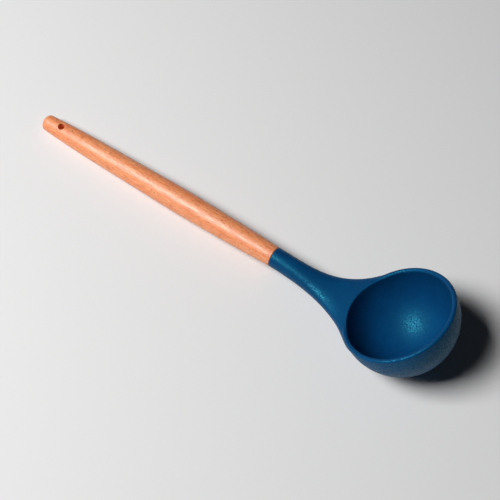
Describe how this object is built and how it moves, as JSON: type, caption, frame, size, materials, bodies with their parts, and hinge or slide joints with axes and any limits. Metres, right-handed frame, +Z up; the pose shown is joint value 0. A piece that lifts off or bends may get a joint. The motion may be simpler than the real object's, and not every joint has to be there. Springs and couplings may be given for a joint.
{
  "type": "soup ladle",
  "caption": "Soup ladle with a deep round silicone bowl on a flared neck and a turned wooden handle with a hanging hole.",
  "frame": {"origin": "on the table, under the middle of the ladle's length, in its mirror plane", "axes": "+X along the handle towards the bowl, +Z up, the table is Z = 0 and the ladle lies on its bowl and its handle with the bowl's mouth up"},
  "size_m": [0.3278, 0.0746, 0.0595],
  "materials": {
    "beech_wood": "fine sanded and oiled, light beech with short dark flecks along the grain",
    "blue_silicone": "matte dark teal blue, very fine moulded texture",
    "black_nylon": "matte moulded nylon",
    "clear_epoxy": "hardened amber epoxy"
  },
  "bodies": {
    "root": {"wood_handle": "beech_wood", "silicone_head": "blue_silicone", "nylon_core": "black_nylon", "tang_glue": "clear_epoxy"}
  },
  "joints": []
}
